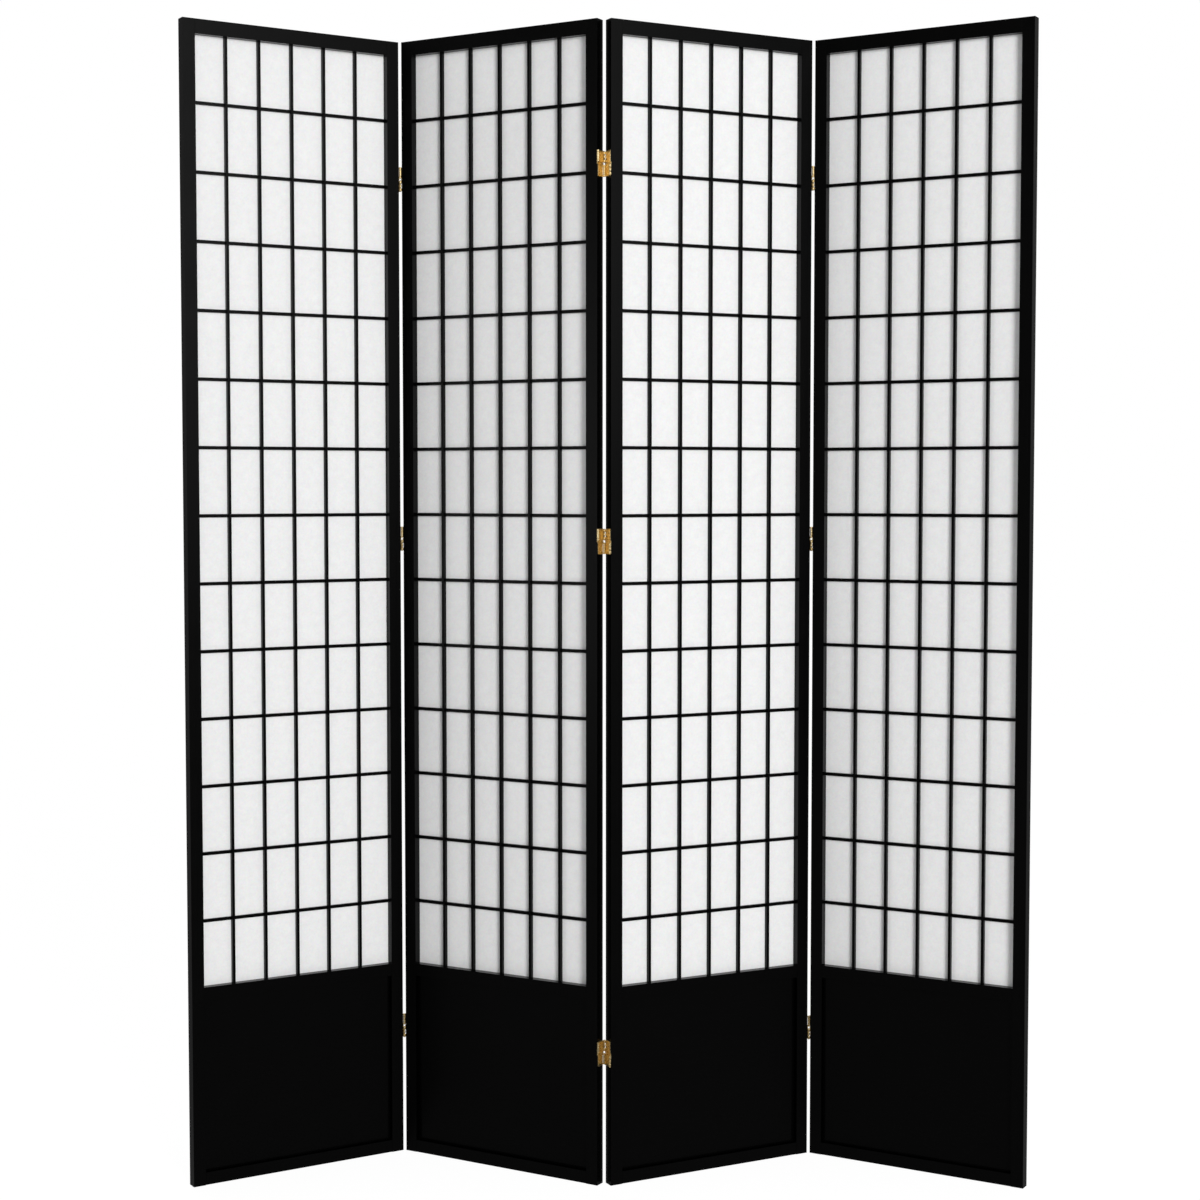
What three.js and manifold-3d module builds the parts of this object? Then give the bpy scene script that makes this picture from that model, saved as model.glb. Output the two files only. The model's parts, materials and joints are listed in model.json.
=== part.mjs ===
// A folding shoji screen: four tall panels of black lacquered wood and rice paper, joined by brass
// two-way hinges. Millimetres, +Z up. X runs along the screen and the front faces -Y. The origin is
// on the floor, in the middle of the screen's box.
import * as THREE from "three";
import { mergeVertices } from "three/addons/utils/BufferGeometryUtils.js";
import Module from "manifold-3d";

const wasm = await Module();
wasm.setup();

// ---- Driving sizes: panel frame ----
const panelHeight = 2134;
const panelWidth = 430;
const frameThickness = 20.5;
const stileWidth = 23.7;
const topRailHeight = 26.6;
const midRailHeight = 23.7;
const midRailTop = 370; // above the floor
const bottomRailHeight = 23.3;
const bottomRailLift = 0.4; // the stiles stand this much proud of the bottom rail, on the floor
const kickBoardThickness = 4.5;
const kickBoardSetback = 9.5; // from the frame's front face
const kickBoardTongue = 6; // how far the board's edges reach into the stiles

// ---- Driving sizes: lattice and paper ----
const columns = 6;
const rows = 14;
const uprightBarWidth = 4.9;
const uprightBarSetback = 7; // from the frame's front face to the bar's front
const crossBarHeight = 5.9;
const crossBarSetback = 10.7; // the cross bars pass behind the upright bars' front halves
const barStub = 4; // how far an upright bar's ends reach into the rails
const paperSetback = 15; // from the frame's front face to the paper
const paperThickness = 0.5;
const paperTuck = 3.5; // how far the paper's edges reach into the frame

// ---- Driving sizes: joinery ----
const tenonLength = 14;
const tenonThickness = 8;
const tenonSetback = 3.6; // from a rail's top and bottom edges to its tenon
const jointGap = 0.3; // room for glue or finish wherever one piece meets another

// ---- Driving sizes: hinges ----
const hingeGap = 5.6; // between two panels' edges when they stand in line
const hingePinOffset = 1; // how far each pin's axis stands out from the panel's face
const hingeHeight = 48;
const upperHingeDrop = 258; // from the panel's top to the middle of the hinge
const middleHingeDrop = 942;
const lowerHingeRise = 246; // from the floor to the middle of the hinge
const leafThickness = 1.2;
const linkThickness = 1.2;
const barrelRadius = 2.3;
const barrelLength = 21.4; // of the front barrel, and of the back one
const barrelMargin = 0.5; // from a barrel's end to the leaf's end
const leftEndKnuckle = 3.4; // the left leaf's knuckles are short, the link's between them is long
const rightEndKnuckle = 6.8;
const knuckleGap = 0.3;
const pinRadius = 1;
const pinInset = 1; // from the barrel's end to the pin's end
const pinBoreRadius = 1.45;
const barrelClearance = 0.5; // from a barrel to the plates that it turns beside
const screwHoleRadius = 1.75;
const screwHoleStep = 17; // from one of a leaf's three screws up to the next
const screwHoleStagger = 3; // how far each screw stands to one side of the leaf's middle

// ---- Driving sizes: how the screen stands ----
const panelAngles = [31.6, -30.1, 27.6, -30.1]; // degrees in plan, from X, for panels 1 to 4

// ---- Values that follow ----
const topRailBottom = panelHeight - topRailHeight;
const midRailBottom = midRailTop - midRailHeight;
const bottomRailTop = bottomRailLift + bottomRailHeight;
const railLeft = stileWidth + jointGap;
const railRight = panelWidth - railLeft;
const tenonFront = (frameThickness - tenonThickness) / 2;
const tenonBack = tenonFront + tenonThickness;
const kickBoardBack = kickBoardSetback + kickBoardThickness;
const paperBack = paperSetback + paperThickness;
const barBack = paperSetback - jointGap;
const paneWidth = (panelWidth - 2 * stileWidth - (columns - 1) * uprightBarWidth) / columns;
const paneHeight = (topRailBottom - midRailTop - (rows - 1) * crossBarHeight) / rows;
const hingeHeights = {
  lower: lowerHingeRise,
  middle: panelHeight - middleHingeDrop,
  upper: panelHeight - upperHingeDrop,
};
const pinDistance = frameThickness / 2 + hingePinOffset; // from the panel's mid-plane
const plateReach = pinDistance - barrelRadius - barrelClearance;
const barrelFar = hingeHeight / 2 - barrelMargin; // the barrel's ends, from the hinge's middle
const barrelNear = barrelFar - barrelLength;

// How far a cut runs out past the face that it opens in, and a tongue into the plate that bears it.
const overrun = 1;

// Sides of the round pieces.
const barrelSides = 8;
const boreSides = 6;

const lacquer = new THREE.MeshStandardMaterial({ color: 0x0b0b0c, roughness: 0.35, metalness: 0 });
const paper = new THREE.MeshStandardMaterial({ color: 0xf1f1ef, roughness: 0.9, metalness: 0 });
const brass = new THREE.MeshStandardMaterial({ color: 0xb08844, roughness: 0.35, metalness: 1 });

// ---- Solids ----

// A closed box between its lowest and highest corners.
function block(low, high) {
  const size = high.map((value, axis) => value - low[axis]);
  const middle = high.map((value, axis) => (value + low[axis]) / 2);
  return new THREE.BoxGeometry(...size).translate(...middle);
}

// A round bar along Z or X.
function roundBar(radius, sides, from, to, axis = "z") {
  const bar = new THREE.CylinderGeometry(radius, radius, to - from, sides);
  bar.translate(0, (to + from) / 2, 0);
  return axis === "z" ? bar.rotateX(Math.PI / 2) : bar.rotateZ(-Math.PI / 2);
}

function toSolid(geometry) {
  const bare = geometry.clone().deleteAttribute("normal").deleteAttribute("uv");
  const merged = mergeVertices(bare, 1e-4);
  return new wasm.Manifold(
    new wasm.Mesh({
      numProp: 3,
      vertProperties: merged.attributes.position.array,
      triVerts: new Uint32Array(merged.index.array),
    }),
  );
}

function joined(geometries) {
  return geometries.map(toSolid).reduce((whole, piece) => whole.add(piece));
}

function without(solid, geometries) {
  return geometries.map(toSolid).reduce((rest, tool) => rest.subtract(tool), solid);
}

function named(name, solid, material) {
  const { vertProperties, triVerts, numProp } = solid.getMesh();
  const geometry = new THREE.BufferGeometry();
  const vertices = new THREE.InterleavedBuffer(vertProperties, numProp);
  geometry.setAttribute("position", new THREE.InterleavedBufferAttribute(vertices, 3, 0));
  geometry.setIndex(new THREE.BufferAttribute(triVerts, 1));
  const mesh = new THREE.Mesh(geometry.toNonIndexed(), material);
  mesh.geometry.computeVertexNormals();
  mesh.name = name;
  return mesh;
}

// ---- Where the bars stand, in a panel's own frame: x across, y back from the front face ----

function uprightBarMiddle(index) {
  return stileWidth + (index + 1) * paneWidth + (index + 0.5) * uprightBarWidth;
}

function crossBarMiddle(index) {
  return midRailTop + (index + 1) * paneHeight + (index + 0.5) * crossBarHeight;
}

const uprightBars = Array.from({ length: columns - 1 }, (_, index) => uprightBarMiddle(index));
const crossBars = Array.from({ length: rows - 1 }, (_, index) => crossBarMiddle(index));

// ---- Panel pieces ----

// A block of a stile, drawn for the left one and mirrored across the panel for the right one.
function stileBlock(side, low, high) {
  if (side === "left") return block(low, high);
  return block([panelWidth - high[0], low[1], low[2]], [panelWidth - low[0], high[1], high[2]]);
}

function stile(side) {
  const hole = (depth, front, back, bottom, top) =>
    stileBlock(
      side,
      [stileWidth - depth - jointGap, front - jointGap, bottom - jointGap],
      [stileWidth + overrun, back + jointGap, top + jointGap],
    );
  const mortise = (bottom, top) =>
    hole(tenonLength, tenonFront, tenonBack, bottom + tenonSetback, top - tenonSetback);
  return without(toSolid(stileBlock(side, [0, 0, 0], [stileWidth, frameThickness, panelHeight])), [
    mortise(topRailBottom, panelHeight),
    mortise(midRailBottom, midRailTop),
    mortise(bottomRailLift, bottomRailTop),
    hole(kickBoardTongue, kickBoardSetback, kickBoardBack, bottomRailTop, midRailBottom),
    hole(paperTuck, paperSetback, paperBack, midRailTop - paperTuck, topRailBottom + paperTuck),
  ]);
}

function railWithTenons(bottom, top) {
  const tenonLow = bottom + tenonSetback;
  const tenonHigh = top - tenonSetback;
  return [
    block([railLeft, 0, bottom], [railRight, frameThickness, top]),
    block(
      [stileWidth - tenonLength, tenonFront, tenonLow],
      [panelWidth - stileWidth + tenonLength, tenonBack, tenonHigh],
    ),
  ];
}

// The groove for the paper and the pockets for the upright bars' ends, in a rail's face at the
// given height. The rail lies above the face when toward is 1, and below it when toward is -1.
function railCuts(face, toward) {
  const slot = ([left, right], [front, back], depth) => {
    const ends = [face - toward * overrun, face + toward * (depth + jointGap)];
    return block(
      [left - jointGap, front - jointGap, Math.min(...ends)],
      [right + jointGap, back + jointGap, Math.max(...ends)],
    );
  };
  const half = uprightBarWidth / 2;
  const paperEdges = [stileWidth - paperTuck, panelWidth - stileWidth + paperTuck];
  return [
    slot(paperEdges, [paperSetback, paperBack], paperTuck),
    ...uprightBars.map((middle) =>
      slot([middle - half, middle + half], [uprightBarSetback, barBack], barStub),
    ),
  ];
}

function topRail() {
  return without(joined(railWithTenons(topRailBottom, panelHeight)), railCuts(topRailBottom, 1));
}

// The mid rail, the bottom rail and the kick board between them, glued up as one unit.
function kickUnit() {
  const boardLow = [stileWidth - kickBoardTongue, kickBoardSetback, bottomRailTop];
  const boardHigh = [panelWidth - stileWidth + kickBoardTongue, kickBoardBack, midRailBottom];
  const unit = joined([
    ...railWithTenons(midRailBottom, midRailTop),
    ...railWithTenons(bottomRailLift, bottomRailTop),
    block(boardLow, boardHigh),
  ]);
  return without(unit, railCuts(midRailTop, -1));
}

// The cross bars are notched into the backs of the upright bars, whose ends are in the rails.
function lattice() {
  const halfUpright = uprightBarWidth / 2;
  const halfCross = crossBarHeight / 2;
  const uprights = uprightBars.map((middle) =>
    block(
      [middle - halfUpright, uprightBarSetback, midRailTop - barStub],
      [middle + halfUpright, barBack, topRailBottom + barStub],
    ),
  );
  const crosses = crossBars.map((middle) =>
    block(
      [railLeft, crossBarSetback, middle - halfCross],
      [railRight, barBack, middle + halfCross],
    ),
  );
  return joined([...uprights, ...crosses]);
}

function paperSheet() {
  return toSolid(
    block(
      [stileWidth - paperTuck, paperSetback, midRailTop - paperTuck],
      [panelWidth - stileWidth + paperTuck, paperBack, topRailBottom + paperTuck],
    ),
  );
}

// ---- Hinge pieces, about the middle of the gap between two panels: y is across their thickness ----

// Two heights between zero and the hinge's end, for its upper half or its lower one.
function span(up, near, far) {
  return up > 0 ? [near, far] : [-far, -near];
}

// A tongue from a barrel's axis to the plate that bears it.
function tongue(plateX, front, [bottom, top]) {
  const ends = [front * pinDistance, front * (plateReach - overrun)];
  return block([plateX[0], Math.min(...ends), bottom], [plateX[1], Math.max(...ends), top]);
}

// The two knuckles of a leaf at the ends of one barrel, with the pin between them and the tongues
// that join them to the leaf's plate. front is -1 at the front and 1 at the back of the panel;
// up is 1 for the upper barrel and -1 for the lower.
function leafBarrel(plateX, front, up, endKnuckle) {
  const spans = [
    span(up, barrelNear, barrelNear + endKnuckle),
    span(up, barrelFar - endKnuckle, barrelFar),
  ];
  const pinSpan = span(up, barrelNear + pinInset, barrelFar - pinInset);
  const bars = [
    ...spans.map((ends) => roundBar(barrelRadius, barrelSides, ...ends)),
    roundBar(pinRadius, boreSides, ...pinSpan),
  ];
  return [
    ...bars.map((bar) => bar.translate(0, front * pinDistance, 0)),
    ...spans.map((ends) => tongue(plateX, front, ends)),
  ];
}

// The left leaf lies on the left panel's edge, and has the front barrel above and the back barrel
// below. The right leaf, on the right panel's edge, has them the other way round.
function leaf(side) {
  const outer = hingeGap / 2 - jointGap;
  const plateX = side === "left" ? [-outer, leafThickness - outer] : [outer - leafThickness, outer];
  const endKnuckle = side === "left" ? leftEndKnuckle : rightEndKnuckle;
  const upperFront = side === "left" ? -1 : 1;
  const plate = block([plateX[0], -plateReach, -hingeHeight / 2], [plateX[1], plateReach, hingeHeight / 2]);
  const whole = joined([
    plate,
    ...leafBarrel(plateX, upperFront, 1, endKnuckle),
    ...leafBarrel(plateX, -upperFront, -1, endKnuckle),
  ]);
  const holes = [-1, 0, 1].map((place) => {
    const ends = [plateX[0] - overrun, plateX[1] + overrun];
    const across = place === 0 ? screwHoleStagger : -screwHoleStagger;
    return roundBar(screwHoleRadius, boreSides, ...ends, "x").translate(0, across, place * screwHoleStep);
  });
  return without(whole, holes);
}

// A link crosses from the left leaf's barrel to the right leaf's barrel at the same height: the
// upper one from front left to back right, the lower one from back left to front right.
function link(level) {
  const up = level === "upper" ? 1 : -1;
  const [bottom, top] = span(up, barrelNear, barrelFar);
  const half = linkThickness / 2;
  const shapes = [block([-half, -plateReach, bottom], [half, plateReach, top])];
  const bores = [];
  for (const [front, endKnuckle] of [[-up, leftEndKnuckle], [up, rightEndKnuckle]]) {
    const inset = endKnuckle + knuckleGap;
    const [from, to] = span(up, barrelNear + inset, barrelFar - inset);
    const y = front * pinDistance;
    const bore = roundBar(pinBoreRadius, boreSides, from - overrun, to + overrun);
    shapes.push(roundBar(barrelRadius, barrelSides, from, to).translate(0, y, 0));
    shapes.push(tongue([-half, half], front, [from, to]));
    bores.push(bore.translate(0, y, 0));
  }
  return without(joined(shapes), bores);
}

// ---- Assembly ----

function panel(number) {
  const group = new THREE.Group();
  const pieces = {
    stile_left: [stile("left"), lacquer],
    stile_right: [stile("right"), lacquer],
    top_rail: [topRail(), lacquer],
    kick_unit: [kickUnit(), lacquer],
    lattice: [lattice(), lacquer],
    paper: [paperSheet(), paper],
  };
  for (const [piece, [solid, material]] of Object.entries(pieces)) {
    group.add(named(`panel_${number}_${piece}`, solid, material));
  }
  return group;
}

// The leaf and the link that stay with one panel, on its left or right edge. Where a fold's back
// pins are the ones that turn, the upper link stays with the left panel; where its front pins
// turn, the lower link does.
function addHinges(group, fold, side, turnsAtFront) {
  const x = side === "left" ? -hingeGap / 2 : panelWidth + hingeGap / 2;
  const leafSide = side === "left" ? "right" : "left";
  const stays = (leafSide === "left") === turnsAtFront ? "lower" : "upper";
  for (const [place, height] of Object.entries(hingeHeights)) {
    const leafMesh = named(`hinge_${fold}_${place}_leaf_${leafSide}`, leaf(leafSide), brass);
    const linkMesh = named(`hinge_${fold}_${place}_link_${stays}`, link(stays), brass);
    for (const mesh of [leafMesh, linkMesh]) mesh.position.set(x, frameThickness / 2, height);
    group.add(leafMesh, linkMesh);
  }
}

// The pin that two neighbouring panels turn about, in plan: it lies beyond the panel's right or
// left edge, just in front of the front face or just behind the back face.
function pinInPanel(edge, turnsAtFront) {
  const x = edge === "right" ? panelWidth + hingeGap / 2 : -hingeGap / 2;
  const y = turnsAtFront ? -hingePinOffset : frameThickness + hingePinOffset;
  return new THREE.Vector3(x, y, 0);
}

const screen = new THREE.Group();
const upAxis = new THREE.Vector3(0, 0, 1);
const corner = new THREE.Vector3(); // the current panel's front left foot
panelAngles.forEach((degrees, index) => {
  const angle = THREE.MathUtils.degToRad(degrees);
  const group = panel(index + 1);
  if (index > 0) {
    const turnsAtFront = panelAngles[index - 1] > degrees;
    corner.sub(pinInPanel("left", turnsAtFront).applyAxisAngle(upAxis, angle));
    addHinges(group, `${index}${index + 1}`, "left", turnsAtFront);
  }
  group.position.copy(corner);
  group.rotation.z = angle;
  if (index < panelAngles.length - 1) {
    const turnsAtFront = degrees > panelAngles[index + 1];
    corner.add(pinInPanel("right", turnsAtFront).applyAxisAngle(upAxis, angle));
    addHinges(group, `${index + 1}${index + 2}`, "right", turnsAtFront);
  }
  screen.add(group);
});

// The origin moves to the middle of the box that the screen stands in.
const footprint = new THREE.Box3().setFromObject(screen, true).getCenter(new THREE.Vector3());
for (const group of screen.children) group.position.sub(new THREE.Vector3(footprint.x, footprint.y, 0));

export default screen;
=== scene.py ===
"""The looks of a folding screen: black lacquered wood, rice paper and brass hinges. Metres, +Z up."""
import json
import math

import bmesh
import bpy
from mathutils import Matrix, Vector


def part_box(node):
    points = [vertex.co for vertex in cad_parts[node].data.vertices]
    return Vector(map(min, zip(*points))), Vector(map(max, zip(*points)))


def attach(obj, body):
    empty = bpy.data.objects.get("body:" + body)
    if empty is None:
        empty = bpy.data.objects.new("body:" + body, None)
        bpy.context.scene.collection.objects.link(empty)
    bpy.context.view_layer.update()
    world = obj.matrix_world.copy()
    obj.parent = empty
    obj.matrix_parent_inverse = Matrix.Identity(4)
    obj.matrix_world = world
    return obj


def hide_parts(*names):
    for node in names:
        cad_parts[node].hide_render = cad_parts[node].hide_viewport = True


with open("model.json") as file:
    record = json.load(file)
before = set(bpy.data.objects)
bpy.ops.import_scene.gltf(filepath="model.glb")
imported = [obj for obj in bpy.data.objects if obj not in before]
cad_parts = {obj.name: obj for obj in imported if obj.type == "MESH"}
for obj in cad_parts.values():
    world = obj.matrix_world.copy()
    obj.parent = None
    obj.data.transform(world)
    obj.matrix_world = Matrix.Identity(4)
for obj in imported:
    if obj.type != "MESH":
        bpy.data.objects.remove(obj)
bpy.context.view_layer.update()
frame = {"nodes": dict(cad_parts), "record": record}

PANELS = (1, 2, 3, 4)
FOLDS = ("12", "23", "34")
HINGE_PLACES = ("lower", "middle", "upper")

# ---- Sizes of the wood and paper ----
FRAME_EDGE = 0.0004  # the rounding of a stile's or rail's edges
CRISP_EDGE = 0.00004  # the same at the ledge under the kick board, which looks sharp
BOTTOM_RAIL_TOP = 0.0237  # the level of that ledge
LEVEL_REACH = 0.0005  # how far off that level an edge still counts as the ledge's
STILE_SPREAD = 0.00025  # how much wider a stile is beside a hinge, so that the leaves lie on it
BAR_EDGE = 0.0003  # the rounding of a bar's long edges
COLUMNS = 6
ROWS = 14
UPRIGHT_BAR_WIDTH = 0.0053
UPRIGHT_BAR_FRONT = 0.007  # from the frame's front face
CROSS_BAR_HEIGHT = 0.0061
CROSS_BAR_FRONT = 0.0107
BAR_BACK = 0.0147  # of both kinds of bar, just in front of the paper
BAR_STUB = 0.004  # how far an upright bar's ends reach into the rails
JOINT_GAP = 0.0003  # the room where one piece meets another
KICK_BOARD_FRONT = 0.0095  # from the frame's front face
MID_RAIL_BOTTOM = 0.3463  # the top of the recess that the kick board lies in
PAINTED_SHADE_THICKNESS = 0.0001  # how thick the skin of painted shade in that recess is
PAINTED_SHADE_EDGE = PAINTED_SHADE_THICKNESS / 5

# ---- Sizes of the hinges ----
HINGE_GAP = 0.0056  # between two panels' edges when they stand in line
HINGE_HEIGHT = 0.0468
PIN_OFFSET = 0.001  # from the panel's face out to the pin's axis
LEAF_THICKNESS = 0.0012
LINK_THICKNESS = 0.0012
BARREL_RADIUS = 0.0022
BARREL_LENGTH = 0.0208
BARREL_MARGIN = 0.0005  # from a barrel's end to the leaf's end
BARREL_CLEARANCE = 0.0005  # from a barrel to the plates that it turns beside
LEFT_END_KNUCKLE = 0.0034  # how long each end knuckle of a left leaf's barrel is
RIGHT_END_KNUCKLE = 0.0068
KNUCKLE_GAP = 0.0003
KNUCKLE_ROUNDING = {"left": 0.0003, "right": 0.0018}  # how far the ends of the knuckles curve in
PIN_RADIUS = 0.001
PIN_BORE_RADIUS = 0.00125
PIN_HEAD_RADIUS = 0.0016
PIN_HEAD_RISE = 0.0004
PLATE_CORNER = 0.0015  # the radius of a plate's corners
WEB_REACH = 0.0015  # how far past the hinge's middle a leaf fills the room between two barrels
WEB_SHORT = 0.0003  # how far it stops before the pins' axis
PLATE_EDGE = 0.00015  # the rounding of a plate's edges
SCREW_STEP = 0.017  # from one of a leaf's three screws up to the next
SCREW_STAGGER = 0.003  # how far each screw is to one side of the leaf's middle
SCREW_HEAD_RADIUS = 0.0025
SCREW_HEAD_ROOM = 0.0001  # between the head and the hole it lies in
SCREW_HEAD_DEPTH = 0.0009
SCREW_HEAD_SUNK = 0.00005  # how far the head lies below the leaf's face
RECESS_ARM = 0.0015  # from the middle of the cross in a screw's head to its end
RECESS_HALF_WIDTH = 0.0004

# ---- Camera and light ----
CAMERA_PLACE = (-0.0141, -4.051, 1.2946)
CAMERA_TILT = 3.04  # degrees down
LENS_MM = 64.9
SENSOR_MM = 36
LENS_SHIFT = (-0.00025, 0.0001)
# Each light's turn is in degrees to the right, its rise in degrees up.
KEY_LIGHT = {"turn": 22.5, "distance": 7.2, "height": 2.4, "size": 2.5, "power": 338}
GLOW_LIGHT = {"turn": 24, "rise": 8, "spread": 60, "power": 0.5}
FILL_LIGHT = {"turn": -73, "rise": 10, "spread": 20, "power": 0.31}
AMBIENT = {"front": 0.19, "back": 0.95}  # behind, the white backdrop
AIM_HEIGHT = 1.2  # what the key light points at

# ---- How the meshes are made ----
SHARP_ANGLE = math.radians(20)  # an edge that turns more is rounded over
CORNER_ANGLE = math.radians(60)  # the same at the ledge
FLAT_ANGLE = math.radians(0.5)  # faces that turn less are merged
WELD = 1e-5  # points nearer than this become one
BEVEL_SEGMENTS = 3
ROUND_SEGMENTS = 40  # in a full circle
PIN_SEGMENTS = 24
ARC_STEPS = 5  # in a quarter circle of a turned profile
CORNER_STEPS = 6
FACE_WEIGHT = 100  # the most, so that a large face stays flat to its edge

# ---- Colours ----
LACQUER_TONES = ((0.0004, 0.0004, 0.0004), (0.0009, 0.0009, 0.0009))
# painted shade: the near-black of the recess corners round the kick board
PAINTED_SHADE_TONE = (0.0003, 0.0003, 0.0003, 1)
PAPER_TONES = ((0.89, 0.892, 0.894), (0.98, 0.981, 0.979))
FIBRE_TONE = (0.80, 0.80, 0.79, 1)
BRASS_TONES = ((0.72, 0.50, 0.20), (0.99, 0.82, 0.47))


# ---- Places, from the frame ----

def middle(node):
    low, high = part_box(node)
    return (low + high) / 2


def local_box(node, place):
    """A CAD node's lowest and highest corners in the frame that place stands for."""
    inverse = place.inverted()
    points = [inverse @ vertex.co for vertex in frame["nodes"][node].data.vertices]
    low = Vector([min(point[axis] for point in points) for axis in range(3)])
    high = Vector([max(point[axis] for point in points) for axis in range(3)])
    return low, high


def panel_place(number):
    """A panel's own frame: x across, y back from the front face, z up, from its front left foot."""
    across = middle(f"panel_{number}_stile_right") - middle(f"panel_{number}_stile_left")
    turn = Matrix.Rotation(math.atan2(across.y, across.x), 4, "Z")
    low, _ = local_box(f"panel_{number}_stile_left", turn)
    return Matrix.Translation(turn @ low) @ turn


places = {number: panel_place(number) for number in PANELS}
_, stile_high = local_box("panel_1_stile_left", places[1])
_, panel_high = local_box("panel_1_stile_right", places[1])
STILE_WIDTH = stile_high.x
FRAME_THICKNESS = stile_high.y
PANEL_WIDTH = panel_high.x
RAIL_BOTTOM = local_box("panel_1_top_rail", places[1])[0].z
MID_RAIL_TOP = local_box("panel_1_kick_unit", places[1])[1].z

PIN_DISTANCE = FRAME_THICKNESS / 2 + PIN_OFFSET
PLATE_REACH = PIN_DISTANCE - BARREL_RADIUS - BARREL_CLEARANCE
BARREL_FAR = HINGE_HEIGHT / 2 - BARREL_MARGIN
BARREL_NEAR = BARREL_FAR - BARREL_LENGTH
LEAF_FACE = HINGE_GAP / 2 - JOINT_GAP - LEAF_THICKNESS  # from the gap's middle to a leaf's inner face


# ---- Meshes ----

def evaluated_mesh(source):
    """The plain mesh of an object with its modifiers, after which the object is gone."""
    graph = bpy.context.evaluated_depsgraph_get()
    mesh = bpy.data.meshes.new_from_object(
        source.evaluated_get(graph), preserve_all_data_layers=True, depsgraph=graph
    )
    bpy.data.objects.remove(source)
    return mesh


def object_of(name, data):
    made = bpy.data.objects.new(name, data)
    bpy.context.scene.collection.objects.link(made)
    return made


def mesh_of(name, edit):
    mesh = bpy.data.meshes.new(name)
    edit.to_mesh(mesh)
    edit.free()
    return mesh


def shaded(mesh):
    """Shades the narrow edge faces round and leaves the large faces flat."""
    mesh.shade_smooth()
    source = object_of("shaded", mesh)
    weighted = source.modifiers.new("weighted", "WEIGHTED_NORMAL")
    weighted.weight = FACE_WEIGHT
    return evaluated_mesh(source)


def finished(name, mesh, material, slot, body, *nodes):
    """Puts a mesh in the scene as a piece that rides on a body and stands for CAD nodes."""
    mesh.materials.clear()
    mesh.materials.append(material)
    piece = object_of(name, mesh)
    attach(piece, body)
    if nodes:
        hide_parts(*nodes)


def round_over(edit, edges, width):
    bmesh.ops.bevel(
        edit, geom=edges, offset=width, offset_type="OFFSET", segments=BEVEL_SEGMENTS,
        profile=0.5, affect="EDGES", clamp_overlap=True,
    )


def is_corner(edge, angle):
    """Whether an edge stands outward and turns by more than an angle."""
    return edge.is_manifold and edge.is_convex and edge.calc_face_angle() > angle


def at_ledge(edge):
    """Whether an edge lies at the level of the bottom rail's top."""
    return all(abs(vertex.co.z - BOTTOM_RAIL_TOP) < LEVEL_REACH for vertex in edge.verts)


def spread_stile(edit, number, piece):
    """Moves a stile's side out a little where another panel stands beside it."""
    side = {"stile_left": -1, "stile_right": 1}.get(piece)
    if side is None or number + side not in PANELS:
        return
    inverse = places[number].inverted()
    face = PANEL_WIDTH if side > 0 else 0
    outward = places[number].to_3x3() @ Vector((side * STILE_SPREAD, 0, 0))
    for vertex in edit.verts:
        if abs((inverse @ vertex.co).x - face) < STILE_SPREAD:
            vertex.co += outward


def softened_copy(number, piece, width):
    """A CAD node's shape with its facets merged and its outer edges rounded over, but hardly at
    the level of the bottom rail's top."""
    node = f"panel_{number}_{piece}"
    edit = bmesh.new()
    edit.from_mesh(frame["nodes"][node].data)
    spread_stile(edit, number, piece)
    bmesh.ops.remove_doubles(edit, verts=edit.verts, dist=WELD)
    bmesh.ops.dissolve_limit(edit, angle_limit=FLAT_ANGLE, verts=edit.verts, edges=edit.edges)
    outer = [edge for edge in edit.edges if is_corner(edge, SHARP_ANGLE) and not at_ledge(edge)]
    round_over(edit, outer, width)
    crisp = [edge for edge in edit.edges if is_corner(edge, CORNER_ANGLE) and at_ledge(edge)]
    round_over(edit, crisp, CRISP_EDGE)
    return mesh_of(node, edit)


def set_grain(mesh, place, along, shift):
    """Stores where each point lies on its panel, with the last coordinate along the grain. The
    shift along it is what makes two like boards differ."""
    inverse = place.inverted()
    grain = mesh.attributes.new("grain", "FLOAT_VECTOR", "POINT")
    for vertex, value in zip(mesh.vertices, grain.data):
        point = inverse @ vertex.co
        if along == "x":
            point = Vector((point.z, point.y, point.x))
        value.vector = point + Vector((0, 0, shift))


def joined(name, meshes):
    edit = bmesh.new()
    for mesh in meshes:
        edit.from_mesh(mesh)
    return mesh_of(name, edit)


def add_turned(edit, profile, centre, segments=ROUND_SEGMENTS):
    """Adds a body of revolution about a vertical axis. The profile is (radius, height) pairs that
    start and end on the axis, or close on themselves when they end where they start."""
    closed = profile[0] == profile[-1]
    points = profile[:-1] if closed else profile
    rings = []
    for radius, height in points:
        if radius == 0:
            rings.append([edit.verts.new(centre + Vector((0, 0, height)))])
            continue
        ring = []
        for step in range(segments):
            angle = 2 * math.pi * step / segments
            offset = Vector((radius * math.cos(angle), radius * math.sin(angle), height))
            ring.append(edit.verts.new(centre + offset))
        rings.append(ring)
    pairs = list(zip(rings, rings[1:] + rings[:1])) if closed else list(zip(rings, rings[1:]))
    for lower, upper in pairs:
        for step in range(segments):
            after = (step + 1) % segments
            if len(lower) == 1:
                edit.faces.new((lower[0], upper[after], upper[step]))
            elif len(upper) == 1:
                edit.faces.new((lower[step], lower[after], upper[0]))
            else:
                edit.faces.new((lower[step], lower[after], upper[after], upper[step]))


def quarter_turn():
    """The angles that make a quarter circle of a turned profile."""
    return [math.pi / 2 * step / ARC_STEPS for step in range(ARC_STEPS + 1)]


def rounded_profile(radius, bottom, top, rounding):
    """The outer wall of a knuckle, from its lower end to its upper one, with curved-in ends."""
    lower = []
    for angle in quarter_turn():
        wide = radius - rounding + rounding * math.sin(angle)
        lower.append((wide, bottom + rounding - rounding * math.cos(angle)))
    upper = [(wide, top + bottom - height) for wide, height in reversed(lower)]
    return lower + upper


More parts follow.
